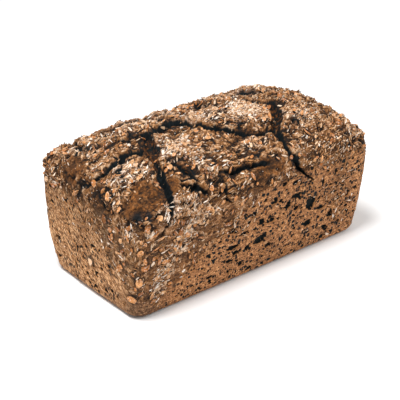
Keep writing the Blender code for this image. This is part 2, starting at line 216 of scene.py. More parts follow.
# Pieces keep off the tears, widened by this many edges, between these shares of their depth
TEAR_WIDENED = 2
TEAR_CLEARANCE = (0.05, 0.35)
# Painted shade on the ground around a flake, from and to these shares of the flake's length from its middle
FLAKE_SHADE = (0.42, 0.8)
GRAIN_PULL = 1.7
GRAIN_WANDER = 26 * MM
GRAIN_RISE = 0.8

# Thickly strewn patches: x, y and reach along each in millimetres, with the walls laid flat, and
# how full they are
THICK_PATCHES = (
    (-90, -26, 15, 13, 1.1), (-84, -61, 9, 7, 1.0), (-60, -27, 7, 12, 0.9), (-46, -21, 12, 16, 0.9),
    (-41, -42, 9, 9, 0.7), (6, -41, 16, 5, 0.5), (29, -3, 19, 19, 1.2), (3, 10, 22, 15, 0.85),
    (61, -29, 16, 14, 0.7), (-64, -64, 9, 5, 0.9), (-86, 34, 13, 15, 0.45), (-92, 14, 10, 7, 0.3),
    (-44, 24, 24, 12, 0.45), (-20, 42, 40, 16, 0.6), (60, 36, 34, 20, 0.6), (-66, -77, 9, 9, 0.8),
    (-75, -90, 10, 9, 0.7), (-86, -101, 9, 10, 0.7), (-89, -115, 8, 9, 0.6), (-55, -73, 10, 6, 0.6),
    (-118, -54, 6, 9, 0.5), (-104, -70, 8, 5, 0.7), (97, -52, 8, 10, 0.4),
)
# Patches where the brown crust shows between fewer flakes
PLAIN_PATCHES = (
    (-18, -34, 13, 8, 0.75), (7, -50, 16, 6, 0.75), (-58, -53, 9, 5, 0.9), (-5, -62, 28, 6, 0.8),
    (22, -64, 12, 6, 0.8), (58, -55, 14, 10, 0.95), (76, -56, 14, 10, 0.8), (-101, 22, 7, 16, 0.7),
    (-86, 2, 17, 9, 0.9), (-56, 18, 10, 6, 0.7), (-10, 22, 18, 6, 0.25), (53, -35, 5, 9, 0.6),
    (76, -40, 10, 14, 0.6),
)
PATCH_EDGE = (0.3, 1.4)
PATCH_RAGGED = ((10 * MM, 5 * MM), (4 * MM, 3 * MM))
# Places on the bare walls where a few flakes stick
SPECK_PATCHES = (
    (84, -96, 14, 24, 1.0), (-18, -86, 20, 14, 1.0), (-128, -8, 12, 18, 1.2), (66, -60, 17, 9, 4.0),
)
SCORCH_SPOTS = ((-107, -56, 83, 6), (-101, -60, 83, 5))
SCORCH_EDGE = (0.3, 1.2)
# The brown foot of the front corner: how near it starts to fade, and how far it reaches
BROWN_FOOT = (14 * MM, 40 * MM)
END_FACING = (0.5, 0.85)

BODY_CUTS = (344, 195, 118)
EDGE_CROWDING = 0.8
NORMAL_STEP = 0.01
TINY = 1e-6
VANISHING = 1e-12
STRAIGHT = 0.99
SEED = 11
SMALL_FLAKE_SEED = SEED + 1
BRAN_SEED = SEED + 2
HUSK_SEED = SEED + 3
CRUMB_SEED = SEED + 5

# The layer of the noise that each pattern reads
POROUS_NOISE = 2
PORE_NOISE = (3, 4, 5)
HOLLOW_NOISE = 6
FISSURE_NOISE = 8
FISSURE_PATCH_NOISE = 9
GRAIN_NOISE = (11, 12, 13)
SCALE_NOISE = 20
GAP_NOISE = 24
GAP_PATCH_NOISE = 25

GRADIENT_COUNT = 256
LAYER_SHIFT = 17.3
NOISE_GAIN = 1.6
DRAWS = np.random.default_rng(SEED)
GRADIENTS = DRAWS.normal(size=(GRADIENT_COUNT, 3))
GRADIENTS /= np.linalg.norm(GRADIENTS, axis=1, keepdims=True)
SHUFFLE = DRAWS.permutation(GRADIENT_COUNT)
CELL_DRAWS = DRAWS.uniform(size=(GRADIENT_COUNT, 5))


def smoothstep(low, high, value):
    share = np.clip((value - low) / (high - low), 0, 1)
    return share * share * (3 - 2 * share)


def hashed(cell):
    """A table row for each cell of a lattice, the same each time."""
    x, y, z = (cell % GRADIENT_COUNT).T
    return SHUFFLE[(SHUFFLE[(SHUFFLE[x] + y) % GRADIENT_COUNT] + z) % GRADIENT_COUNT]


def noise(points, size, layer=0):
    """Gradient noise from -1 to 1 with lumps of the given size."""
    scaled = points / size + layer * LAYER_SHIFT
    cell = np.floor(scaled).astype(int)
    inside = scaled - cell
    blend = inside ** 3 * (inside * (inside * 6 - 15) + 10)
    total = np.zeros(len(points))
    for corner in np.ndindex(2, 2, 2):
        weight = np.where(np.array(corner) == 1, blend, 1 - blend).prod(axis=1)
        total += weight * ((inside - corner) * GRADIENTS[hashed(cell + corner)]).sum(axis=1)
    return NOISE_GAIN * total


def lumps(points, layers):
    return sum(height * noise(points, size, order) for order, (size, height) in enumerate(layers))


def foot_inset(height):
    """How far the rounded bottom edge draws the walls in at a height."""
    drop = np.clip(FOOT_ROUNDING - height, 0, FOOT_ROUNDING)
    return FOOT_ROUNDING - np.sqrt(FOOT_ROUNDING ** 2 - drop ** 2)


def rounded_plan(x, y, half_length, half_width, corner):
    """Moves points of a rectangle into one of the same size with round corners."""
    across = np.clip((np.abs(x) - half_length + corner) / corner, 0, 1)
    along = np.clip((np.abs(y) - half_width + corner) / corner, 0, 1)
    round_x = half_length - corner + corner * across * np.sqrt(1 - along ** 2 / 2)
    round_y = half_width - corner + corner * along * np.sqrt(1 - across ** 2 / 2)
    in_corner = (across > 0) & (along > 0)
    return np.where(in_corner, np.sign(x) * round_x, x), np.where(in_corner, np.sign(y) * round_y, y)


def smooth_form(block):
    """Maps a cube with half sides of 1 onto the loaf without its tears and lumps."""
    u, v, w = block.T
    u = (1 - EDGE_CROWDING) * u + EDGE_CROWDING * np.sin(u * np.pi / 2)
    v = (1 - EDGE_CROWDING) * v + EDGE_CROWDING * np.sin(v * np.pi / 2)
    share = (w + 1) / 2
    height = share * RIM_HEIGHT
    swell = WALL_BULGE * np.sin(np.pi * share) - foot_inset(height)
    half_length = RIM_LENGTH / 2 - TAPER_LENGTH * (1 - share) + swell
    half_width = RIM_WIDTH / 2 - TAPER_WIDTH * (1 - share) + swell
    corner = CORNER_AT_FOOT + (CORNER_AT_RIM - CORNER_AT_FOOT) * share
    x, y = rounded_plan(u * half_length, v * half_width, half_length, half_width, corner)
    arch = (1 - np.abs(u) ** DOME_LENGTH_POWER) * (1 - np.abs(v) ** DOME_WIDTH_POWER)
    dome = DOME_HEIGHT * np.sqrt(np.clip(arch, 0, 1)) * (1 + DOME_TILT * u)
    return np.stack([x, y, height + np.where(w > 1 - TINY, dome, 0)], axis=1)


def facing_axis(block):
    """The axis that each point's side of the cube faces along."""
    on_side = np.abs(block) > 1 - TINY
    return np.where(on_side[:, 2], 2, np.where(on_side[:, 1], 1, 0))


def outward_normals(block):
    """Unit normals of the smooth form, from the run of the surface across each point."""
    normals = np.zeros_like(block)
    facing = facing_axis(block)
    for axis in range(3):
        here = facing == axis
        runs = []
        for other in ((axis + 1) % 3, (axis + 2) % 3):
            step = np.eye(3)[other] * NORMAL_STEP
            ahead = smooth_form(np.clip(block[here] + step, -1, 1))
            runs.append(ahead - smooth_form(np.clip(block[here] - step, -1, 1)))
        normals[here] = np.cross(*runs) * np.sign(block[here, axis])[:, None]
    return normals / np.linalg.norm(normals, axis=1, keepdims=True)


def laid_flat(points, normals):
    """Plan position, with the walls folded outward from the rim."""
    outward = normals[:, :2] / np.maximum(np.linalg.norm(normals[:, :2], axis=1, keepdims=True), TINY)
    below_rim = np.clip(RIM_HEIGHT - points[:, 2:], 0, None)
    return points[:, :2] + outward * below_rim


def smooth_course(course):
    """A curve through the course's places and half widths, as short straight runs."""
    stops = np.array(course, float) * MM
    padded = np.vstack([2 * stops[0] - stops[1], stops, 2 * stops[-1] - stops[-2]])
    t = np.linspace(0, 1, COURSE_STEPS, endpoint=False)[:, None]
    runs = []
    for before, start, end, after in zip(padded, padded[1:], padded[2:], padded[3:]):
        bend = 2 * before - 5 * start + 4 * end - after
        twist = -before + 3 * start - 3 * end + after
        runs.append(start + 0.5 * t * (end - before + t * (bend + t * twist)))
    return np.vstack(runs + [stops[-1:]])


def nearest_on_course(flat, line):
    """Distance to a line, above 0 on its left, with the place along it from 0 to 1 and the half width."""
    distance = np.full(len(flat), np.inf)
    place = np.zeros(len(flat))
    half_width = np.zeros(len(flat))
    for index, (start, end) in enumerate(zip(line, line[1:])):
        run = end[:2] - start[:2]
        away = flat - start[:2]
        t = np.clip(away @ run / (run @ run), 0, 1)
        side = np.where(run[0] * away[:, 1] > run[1] * away[:, 0], 1, -1)
        reach = np.linalg.norm(away - t[:, None] * run, axis=1)
        nearer = reach < np.abs(distance)
        distance = np.where(nearer, reach * side, distance)
        place = np.where(nearer, (index + t) / (len(line) - 1), place)
        half_width = np.where(nearer, start[2] + (end[2] - start[2]) * t, half_width)
    return distance, place, half_width


def tear_relief(flat):
    """Depth of the tears, how far the crust beside them stands up or sinks, and where they crumble."""
    level = np.column_stack([flat, np.zeros(len(flat))])
    sideways = level[:, [1, 0, 2]] + RIM_LENGTH
    ragged = np.column_stack([lumps(level, RAGGED_EDGES), lumps(sideways, RAGGED_EDGES)])
    ragged += np.column_stack([lumps(level, FINE_RAGGED), lumps(sideways, FINE_RAGGED)])
    depth = np.zeros(len(flat))
    lift = np.zeros(len(flat))
    crumbly = np.zeros(len(flat))
    for deepest, left, right, course in TEARS.values():
        distance, place, half_width = nearest_on_course(flat + ragged, smooth_course(course))
        opening = 1 - smoothstep(TEAR_STEEPNESS, 1, np.abs(distance) / half_width)
        fullness = np.clip(half_width / FULL_DEPTH_WIDTH, 0, 1)
        depth = np.maximum(depth, deepest * MM * fullness * opening)
        crumbly = np.maximum(crumbly, opening * smoothstep(*CRUMBLY_WIDTHS, half_width))
        side = smoothstep(-1, 1, distance / half_width)
        reach = np.exp(-np.clip(np.abs(distance) - half_width, 0, None) / LIP_REACH)
        reach *= np.sqrt(np.sin(np.pi * place).clip(0))
        lift += (right + (left - right) * side) * MM * reach
    return depth, np.clip(lift, -LIP_LIMIT, LIP_LIMIT), crumbly


def oval_reach(x, y, spot_x, spot_y, reach_x, reach_y):
    """Distance from the middle of an oval given in millimetres, 1 at its edge."""
    return np.hypot((x - spot_x * MM) / (reach_x * MM), (y - spot_y * MM) / (reach_y * MM))


def flake_share(points):
    """How thickly flakes lie, from 0 on the bare walls and bare spots to 1."""
    x, y, height = points.T
    on_long_wall = np.abs(y) / RIM_WIDTH > np.abs(x) / RIM_LENGTH
    long_line = FLAKE_LINE_TOP + FLAKE_LINE_SLOPE_LONG * np.minimum(x - FLAKE_LINE_START_LONG, 0)
    end_line = FLAKE_LINE_TOP + FLAKE_LINE_SLOPE_END * np.minimum(np.sign(-x) * y - FLAKE_LINE_START_END, 0)
    line = np.clip(np.where(on_long_wall, long_line, end_line), FLAKE_LINE_FOOT, FLAKE_LINE_TOP)
    share = (height > line).astype(float)
    for spot in BARE_SPOTS:
        share *= smoothstep(*BARE_EDGE, oval_reach(x, y, *spot)) ** (height > RIM_HEIGHT)
    return share


def crag_relief(points):
    """Relief of the flaky crust in overlapping scales, and where the gaps between them are, for their
    painted shade.
    """
    wander = [lumps(points[:, order], SCALE_WANDER) for order in ((0, 1, 2), (1, 2, 0), (2, 0, 1))]
    run = (points + np.column_stack(wander)) / np.array(SCALE_STRETCH)
    relief = lumps(points, GRIT_LUMPS)
    for layer, (size, step) in enumerate(SCALE_LAYERS, start=SCALE_NOISE):
        relief += step * (smoothstep(-SCALE_EDGE, SCALE_EDGE, noise(run, size, layer)) - 0.5)
    gaps = 1 - smoothstep(0, GAP_WIDTH, np.abs(noise(run, GAP_SIZE, GAP_NOISE)))
    gaps *= smoothstep(*GAP_PATCH_EDGE, noise(points, GAP_PATCH_SIZE, GAP_PATCH_NOISE))
    return relief - GAP_DEPTH * gaps, gaps


def crumb_pores(points):
    """How far inside a pore each point is, from 0 at its edge, and the pore's radius."""
    size, swing = PORE_RAGGED
    ragged = np.column_stack([noise(points, size, layer) for layer in PORE_NOISE]) * swing
    inside = np.zeros(len(points))
    radius = np.zeros(len(points))
    for layer, (size, small, large, used) in enumerate(PORE_LAYERS):
        scaled = (points + ragged) / (np.array(PORE_STRETCH) * size) + layer * PORE_SHIFT
        cell = np.floor(scaled).astype(int)
        for offset in np.ndindex(3, 3, 3):
            near = cell + np.array(offset) - 1
            draw = CELL_DRAWS[hashed(near)]
            reach = np.where(draw[:, 4] < used, small + (large - small) * draw[:, 3] ** 2, TINY)
            share = 1 - np.linalg.norm(scaled - near - draw[:, :3], axis=1) / reach
            radius = np.where(share > inside, reach * size, radius)
            inside = np.maximum(inside, share)
    return inside, radius


def front_hollows(points):
    """The large hollows of the front wall, from 0 at each edge to 1 in the middle."""
    x, y, height = points.T / MM
    ragged = HOLLOW_RAGGED * noise(points, HOLLOW_RAGGED_SIZE, HOLLOW_NOISE)
    inside = np.zeros(len(points))
    for middle, up, half_length, half_height in HOLLOWS:
        reach = np.hypot((x - middle) / half_length, (height - up) / half_height)
        inside = np.maximum(inside, HOLLOW_SPREAD - reach - ragged)
    return np.where((y < -RIM_WIDTH / 4 / MM) & (height < RIM_HEIGHT / MM), inside, 0)


def patch_share(flat, patches):
    """How deep inside the nearest of some ragged oval patches a place is, from 0 to 1."""
    level = np.column_stack([flat, np.zeros(len(flat))])
    ragged = lumps(level, PATCH_RAGGED)
    x, y = flat.T + ragged
    share = np.zeros(len(flat))
    for *spot, fullest in patches:
        share = np.maximum(share, fullest * (1 - smoothstep(*PATCH_EDGE, oval_reach(x, y, *spot))))
    return share


def scorch_share(points):
    share = np.zeros(len(points))
    for x, y, z, reach in SCORCH_SPOTS:
        away = np.linalg.norm(points - np.array((x, y, z)) * MM, axis=1) / (reach * MM)
        share = np.maximum(share, 1 - smoothstep(*SCORCH_EDGE, away))
    return share


def rough_share(crust, strewn, thick, plain):
    """How much of the crags' relief a place has."""
    strewn_rough = strewn * (THIN_ROUGH + (1 - THIN_ROUGH) * np.maximum(crust, thick))
    return np.clip(BARE_ROUGH * crust + strewn_rough, 0, 1) * (1 - PLAIN_ROUGH_LOST * plain)


def fissure_share(points, crust, strewn):
    """Narrow cracks in the top crust, in patches."""
    cracks = 1 - smoothstep(0, FISSURE_WIDTH, np.abs(noise(points, FISSURE_SIZE, FISSURE_NOISE)))
    patches = smoothstep(*FISSURE_PATCH_EDGE, noise(points, FISSURE_PATCH_SIZE, FISSURE_PATCH_NOISE))
    return cracks * (patches * crust * strewn)


def porous_share(points, corner, crust, strewn):
    """How open the pores are: less so near the dense corner, under flakes and on the top crust."""
    patches = smoothstep(*POROUS_PATCH_EDGE, noise(points, POROUS_PATCH_SIZE, POROUS_NOISE))
    uneven = LEAST_POROUS + (1 - LEAST_POROUS) * patches
    uneven *= 1 - DENSE_CORNER * (1 - smoothstep(*DENSE_CORNER_REACH, corner))
    walls = 1 - np.maximum(crust, STREWN_PORES_LOST * strewn)
    return walls * uneven + CRUST_PORES * crust * (1 - strewn)


def is_along(edge, axis):
    run = edge.verts[1].co - edge.verts[0].co
    return abs(run[axis]) > STRAIGHT * run.length


def cut_block(cuts_by_axis):
    """A cube of half side 1 with its faces cut into a grid, and its underside left whole."""
    block = bmesh.new()
    bmesh.ops.create_cube(block, size=2)
    for axis, cuts in enumerate(cuts_by_axis):
        edges = [edge for edge in block.edges if is_along(edge, axis)]
        bmesh.ops.subdivide_edges(block, edges=edges, cuts=cuts, use_grid_fill=True)
    underside = [face for face in block.faces if face.calc_center_median().z < TINY - 1]
    bmesh.ops.dissolve_faces(block, faces=underside)
    loose = [vert for vert in block.verts if not vert.link_faces]
    bmesh.ops.delete(block, geom=loose, context="VERTS")
    mesh = bpy.data.meshes.new("loaf crust")
    block.to_mesh(mesh)
    block.free()
    return mesh


def read_points(mesh):
    flat = np.empty(3 * len(mesh.vertices))
    mesh.vertices.foreach_get("co", flat)
    return flat.reshape(-1, 3)


def add_shares(mesh, shares):
    """Stores a number from 0 to 1 for each point under each name, for the materials to read."""
    for name, values in shares.items():
        layer = mesh.attributes.new(name, "FLOAT", "POINT")
        layer.data.foreach_set("value", values.astype(np.float32))


def shaped_crust():
    """The body of the loaf with its tears, crags and pores, and the shares that colour it."""
    mesh = cut_block(BODY_CUTS)
    block = read_points(mesh)
    smooth = smooth_form(block)
    normals = outward_normals(block)
    flat = laid_flat(smooth, normals)
    depth, lift, crumbly = tear_relief(flat)
    height = smooth[:, 2]
    crust = smoothstep(RIM_HEIGHT - CRUST_REACH, RIM_HEIGHT + CRUST_REACH / 2, height)
    calm = smoothstep(0, FOOT_CALM, height)
    strewn = flake_share(smooth + lumps(smooth, STREWN_EDGE)[:, None])
    plain = patch_share(flat, PLAIN_PATCHES)
    thick = patch_share(flat, THICK_PATCHES) * (1 - plain)
    bumps = crust * lumps(smooth, TOP_LUMPS) + (1 - crust) * lumps(smooth, WALL_LUMPS)
    crags, gaps = crag_relief(smooth)
    rough = rough_share(crust, strewn, thick, plain)
    bumps += rough * crags
    fissures = fissure_share(smooth, crust, strewn)
    bumps += crumbly * (CRUMBLY_FILL + lumps(smooth, CRUMBLY_LUMPS)) - FISSURE_DEPTH * fissures
    corner = np.hypot(smooth[:, 0] + RIM_LENGTH / 2, smooth[:, 1] + RIM_WIDTH / 2)
    porous = porous_share(smooth, corner, crust, strewn)
    pore, radius = crumb_pores(smooth)
    pore_opening = smoothstep(0, PORE_EDGE, pore) * porous
    hollow = smoothstep(0, HOLLOW_EDGE, front_hollows(smooth)) * (1 - strewn)
    sunk = np.maximum(PORE_DEPTH_SHARE * radius * pore_opening, HOLLOW_DEPTH * hollow)
    sunk += COVER_THICKNESS * strewn
    push = calm * (bumps + lift * crust) - depth - calm * sunk
    points = smooth + normals * push[:, None] * (height > TINY)[:, None]
    mesh.vertices.foreach_set("co", points.astype(np.float32).ravel())
    mesh.update()
    add_shares(mesh, {
        # How deep the tears are, for the shade painted into them
        "tear": np.clip(depth / FULL_SHADE_DEPTH, 0, 1),
        "crumbly": crumbly,
        "fissure": fissures,
        "gap": gaps * rough,
        "strewn": strewn,
        "thick": thick,
        "plain": plain,
        # The crags' height, which places pieces and also darkens the low places as painted shade
        "high": smoothstep(*HIGH_CRAGS, crags / MM),
        "pore": np.maximum(pore_opening, hollow),
        "porous": porous,
        "crust": crust,
        "end": smoothstep(*END_FACING, np.abs(normals[:, 0])),
        "speck": patch_share(flat, SPECK_PATCHES),
        "scorch": scorch_share(smooth),
        "foot": 1 - smoothstep(*BROWN_FOOT, np.hypot(corner, height)),
    })
    return mesh


def random_block_points(draws, count):
    """Points drawn over the cube's top and four walls, by the area of each on the loaf."""
    sizes = np.array([RIM_LENGTH, RIM_WIDTH, RIM_HEIGHT])
    areas = np.array([2 * sizes[1] * sizes[2], 2 * sizes[0] * sizes[2], sizes[0] * sizes[1]])
    points = draws.uniform(-1, 1, size=(count, 3))
    facing = draws.choice(3, size=count, p=areas / areas.sum())
    for axis in range(3):
        here = facing == axis
        points[here, axis] = 1 if axis == 2 else draws.choice((-1, 1), size=here.sum())
    return points


def large_flake_spots(draws):
    """The flakes at the corner, then well spread places where flakes lie on the smooth form."""
    chosen = [np.array(spot) * MM for spot in CORNER_FLAKES]
    drawn = smooth_form(random_block_points(draws, FLAKE_TRIES))
    for spot in drawn[draws.uniform(size=FLAKE_TRIES) < flake_share(drawn)]:
        nearest = min(np.linalg.norm(spot - other) for other in chosen)
        if len(chosen) < FLAKE_COUNT and nearest > FLAKE_SPACING:
            chosen.append(spot)
    return np.array(chosen)


def unit(vectors):
    return vectors / np.maximum(np.linalg.norm(vectors, axis=1, keepdims=True), VANISHING)


class Ground:
    """The crust as the ground that flakes lie on."""

    def __init__(self, mesh):
        self.mesh = mesh
        self.points = read_points(mesh)
        mesh.calc_loop_triangles()
        corners = np.empty(3 * len(mesh.loop_triangles), dtype=np.int32)
        mesh.loop_triangles.foreach_get("vertices", corners)
        self.triangles = corners.reshape(-1, 3)
        a, b, c = (self.points[self.triangles[:, index]] for index in range(3))
        cross = np.cross(b - a, c - a)
        self.areas = np.linalg.norm(cross, axis=1) / 2
        self.heights = (a + b + c)[:, 2] / 3
        normals = np.zeros_like(self.points)
        for index in range(3):
            np.add.at(normals, self.triangles[:, index], cross)
        self.normals = unit(normals)
        self.tree = BVHTree.FromPolygons(self.points.tolist(), self.triangles.tolist())

    def share(self, name, widened=0):
        """A share that the crust stores for its points, for each triangle, widened by some edges."""
        values = np.empty(len(self.points), dtype=np.float32)
        self.mesh.attributes[name].data.foreach_get("value", values)
        for _ in range(widened):
            highest = values[self.triangles].max(axis=1)
            for index in range(3):
                np.maximum.at(values, self.triangles[:, index], highest)
        return values[self.triangles].mean(axis=1)

    def draw(self, draws, weight, count):
        """Triangles drawn by area and weight, with a place and a normal on each."""
        chance = self.areas * weight
        picked = draws.choice(len(chance), size=count, p=chance / chance.sum())
        mix = draws.dirichlet((1, 1, 1), size=count)[:, :, None]
        corners = self.triangles[picked]
        places = (self.points[corners] * mix).sum(axis=1)
        return picked, places, unit((self.normals[corners] * mix).sum(axis=1))

    def under(self, spots):
        """The triangles nearest to some points, and the places and normals there."""
        found = [self.tree.find_nearest(Vector(spot)) for spot in spots]
        picked = np.array([hit[2] for hit in found])
        return picked, np.array([hit[0] for hit in found]), np.array([hit[1] for hit in found])


class Strewing:
    """Where pieces lie on the crust, and how thickly each part of it is covered."""

    def __init__(self, mesh):
        self.ground = Ground(mesh)
        share = {name: self.ground.share(name) for name in (
            "strewn", "thick", "plain", "fissure", "gap", "high", "crust", "speck"
        )}
        self.thick = share["thick"]
        brink = self.ground.share("tear", widened=TEAR_WIDENED)
        clear = 1 - smoothstep(*TEAR_CLEARANCE, np.maximum(brink, share["fissure"]))
        base = (THIN_COVER + CRUST_COVER * share["crust"]) * (1 - PLAIN_COVER_LOST * share["plain"])
        cover = base + (1 - base) * self.thick
        crowded = (LOW_COVER + (1 - LOW_COVER) * share["high"]) * (1 - GAP_COVER_LOST * share["gap"])
        self.cover = share["strewn"] * cover * crowded + SPECK_COVER * share["speck"]
        self.cover *= TORN_COVER + (1 - TORN_COVER) * clear
        self.cover *= self.ground.heights > LOWEST_PIECE
        self.stray = clear * (self.ground.heights > LOWEST_PIECE)
        self.on_wall = self.stray * share["strewn"] * (1 - share["crust"])

    def shade_around(self, places, lengths):
        """Stores how near each point of the crust is to a flake, where the ground lies in its shade."""
        points = self.ground.points
        tree = KDTree(len(points))
        for index, point in enumerate(points.tolist()):
            tree.insert(point, index)
        tree.balance()
        shade = np.zeros(len(points))
        for place, length in zip(places, lengths):
            for _, index, away in tree.find_range(place, FLAKE_SHADE[1] * length):
                shade[index] = max(shade[index], 1 - smoothstep(*FLAKE_SHADE, away / length))
        add_shares(self.ground.mesh, {"shade": shade})


def disc_pattern(sides, rings):
    """Points and faces of a disc, given as rings of a radius and a height from its top middle down."""
    turns = np.arange(sides) * 2 * np.pi / sides
    circle = np.stack([np.cos(turns), np.sin(turns)], axis=1)
    points = [(0, 0, rings[0][1])]
    for radius, height in rings[1:-1]:
        points += [(x * radius, y * radius, height) for x, y in circle]
    points.append((0, 0, rings[-1][1]))
    faces = []
    for side in range(sides):
        after = (side + 1) % sides
        faces.append((0, 1 + side, 1 + after))
        for ring in range(len(rings) - 3):
            start = 1 + ring * sides
            below = start + sides
            faces.append((start + side, below + side, below + after))
            faces.append((start + side, below + after, start + after))
        start = 1 + (len(rings) - 3) * sides
        faces.append((start + side, len(points) - 1, start + after))
    return np.array(points), np.array(faces)


# How the pieces of a kind lie: their pattern, their lean off the crust, how uneven their points are,
# how far their middles stand off the crust, and the middle and spread of their tones
Habit = namedtuple("Habit", "pattern lean uneven lift tone spread")
FLAKE_PATTERN = disc_pattern(9, ((0, 0.2), (0.6, 0.55), (0.95, 0.8), (1.0, 0.0), (0.85, -0.8), (0, -0.9)))
CHIP_PATTERN = disc_pattern(5, ((0, 1.0), (1.0, 0.2), (0, -1.0)))
CRUMB_PATTERN = disc_pattern(4, ((0, 1.0), (1.0, 0.0), (0, -1.0)))
FLAKE_HABIT = Habit(FLAKE_PATTERN, FLAKE_LEAN, 0.15, 0.4 * MM, 0.42, 0.2)
BRAN_HABIT = Habit(CHIP_PATTERN, 0.42, 0.5, 0.3 * MM, 0.39, 0.27)
HUSK_HABIT = Habit(CHIP_PATTERN, 0.28, 0.5, 0.3 * MM, 0.5, 0.27)
CRUMB_HABIT = Habit(CRUMB_PATTERN, 0.5, 0.3, 0.1 * MM, 0.5, 0.3)
PALER_WHERE_THICK = 0.25


def grain(places, normals):
    """The way that the crust's fibres and flakes tend to run: along the top, and aslant on the walls."""
    wander = np.column_stack([noise(places, GRAIN_WANDER, layer) for layer in GRAIN_NOISE])
    rise = GRAIN_RISE * (1 - normals[:, 2])
    return np.column_stack([np.ones(len(places)), np.abs(normals[:, 0]), rise]) + wander


def strewn_mesh(name, habit, places, normals, sizes, thick, draws):
    """One mesh of many copies of a pattern, each with its own size, turn, lean, tone and unevenness."""
    points, faces = habit.pattern
    count = len(places)
    tones = np.clip(draws.normal(habit.tone + PALER_WHERE_THICK * thick, habit.spread), 0, 1)
    up = unit(normals + draws.normal(scale=habit.lean, size=(count, 3)))
    pull = GRAIN_PULL * grain(places, normals) + draws.normal(size=(count, 3))
    across = unit(pull - (pull * up).sum(axis=1, keepdims=True) * up)
    along = np.cross(up, across)
    uneven = 1 + draws.uniform(-habit.uneven, habit.uneven, size=(count, len(points), 3))
    shaped = points[None] * sizes[:, None] * uneven
    copies = places[:, None] + habit.lift * up[:, None]
    for part, axis in enumerate((across, along, up)):
        copies = copies + shaped[:, :, part:part + 1] * axis[:, None]
    mesh = bpy.data.meshes.new(name)
    starts = (np.arange(count) * len(points))[:, None, None]
    corners = (faces[None] + starts).reshape(-1, 3)
    mesh.vertices.add(count * len(points))
    mesh.vertices.foreach_set("co", copies.astype(np.float32).ravel())
    mesh.loops.add(corners.size)
    mesh.loops.foreach_set("vertex_index", corners.astype(np.int32).ravel())
    mesh.polygons.add(len(corners))
    mesh.polygons.foreach_set("loop_start", np.arange(0, corners.size, 3, dtype=np.int32))
    mesh.update(calc_edges=True)
    mesh.validate()
    add_shares(mesh, {"tone": np.repeat(tones, len(points))})
    return mesh


def srgb(red, green, blue):
    """A linear colour from the 0 to 255 values that a screen shows."""
    values = np.array((red, green, blue)) / 255
    linear = np.where(values < 0.04045, values / 12.92, ((values + 0.055) / 1.055) ** 2.4)
    return (*linear, 1.0)


